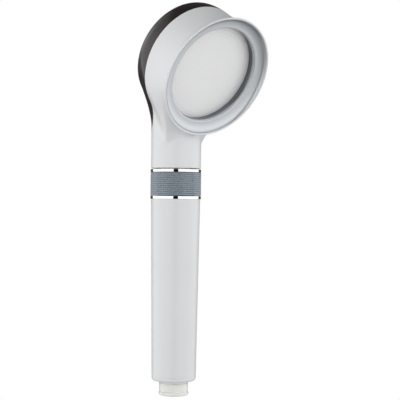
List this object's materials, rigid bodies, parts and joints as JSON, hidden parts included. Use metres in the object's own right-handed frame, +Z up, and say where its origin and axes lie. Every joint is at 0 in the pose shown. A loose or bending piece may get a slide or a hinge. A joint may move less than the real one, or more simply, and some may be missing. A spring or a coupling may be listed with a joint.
{
  "type": "handheld shower head",
  "caption": "Slim white handheld shower head with a filter handle, knurled union collar, dark back cover and a flared face ring round a recessed perforated spray plate.",
  "frame": {"origin": "centre of the inlet end face, where the threaded spigot starts", "axes": "+Z runs up the handle towards the head, -Y is the way the spray face looks, +X completes the right-handed set"},
  "size_m": [0.0882, 0.0833, 0.2786],
  "materials": {
    "spigot_plastic": "milky translucent plastic, slightly yellow, smooth",
    "white_gloss": "glossy white plastic",
    "shell_white": "glossy white plastic with a cool tint",
    "bezel_silver": "satin silver-white paint",
    "bright_chrome": "polished chrome",
    "knurl_steel": "fine square knurling, satin grey metal",
    "dark_gloss": "very dark brown, high gloss",
    "plate_steel": "pale satin stainless steel",
    "step_chrome": "dark polished chrome",
    "seal_rubber": "soft black rubber",
    "inner_plastic": "plain light grey moulding",
    "cartridge_plastic": "plain white moulding",
    "regulator_plastic": "plain blue moulding",
    "filter_cloth": "pleated filter cloth",
    "liner_plastic": "dark grey moulding",
    "brass_plated": "nickel-plated brass",
    "fine_steel": "plain stainless steel"
  },
  "bodies": {
    "handle": {"inlet_spigot": "spigot_plastic", "spigot_seal": "seal_rubber", "inlet_screen": "fine_steel", "flow_regulator": "regulator_plastic", "end_cap": "white_gloss", "cap_seal": "seal_rubber", "handle_tube": "white_gloss", "filter_bottom_cap": "cartridge_plastic", "filter_core": "inner_plastic", "filter_sleeve": "filter_cloth", "filter_top_cap": "cartridge_plastic", "filter_seal": "seal_rubber", "handle_bush": "brass_plated", "lower_band": "bright_chrome", "union_washer": "seal_rubber"},
    "collar": {"knurled_sleeve": "knurl_steel", "collar_liner": "liner_plastic", "upper_band": "bright_chrome"},
    "head": {"neck_spigot": "brass_plated", "duct_seal": "seal_rubber", "head_shell": "shell_white", "back_cover": "dark_gloss", "cover_seal": "seal_rubber", "water_chamber": "inner_plastic", "chamber_screws": "fine_steel"},
    "plate": {"spray_plate": "plate_steel", "plate_frame": "inner_plastic", "plate_gasket": "seal_rubber"},
    "bezel": {"bezel_ring": "bezel_silver", "step_ring": "step_chrome"}
  },
  "joints": [
    {"name": "head_lift", "type": "slide", "parent": "handle", "child": "head", "axis": [0, 0, 1], "range_m": [0, 0.005]},
    {"name": "collar_turn", "type": "hinge", "parent": "head", "child": "collar", "pos_m": [0, 0, 0.155], "axis": [0, 0, 1], "range_deg": [0, 720]},
    {"name": "plate_lift", "type": "slide", "parent": "head", "child": "plate", "axis": [0, -0.8796, -0.4756], "range_m": [0, 0.0045]},
    {"name": "bezel_turn", "type": "hinge", "parent": "plate", "child": "bezel", "pos_m": [0, -0.0432, 0.2249], "axis": [0, -0.8796, -0.4756], "range_deg": [0, 540]}
  ],
  "couplings": [
    {"joint": "collar_turn", "follows": "head_lift", "rad_per_m": 2513.3},
    {"joint": "bezel_turn", "follows": "plate_lift", "rad_per_m": 2094.4}
  ]
}
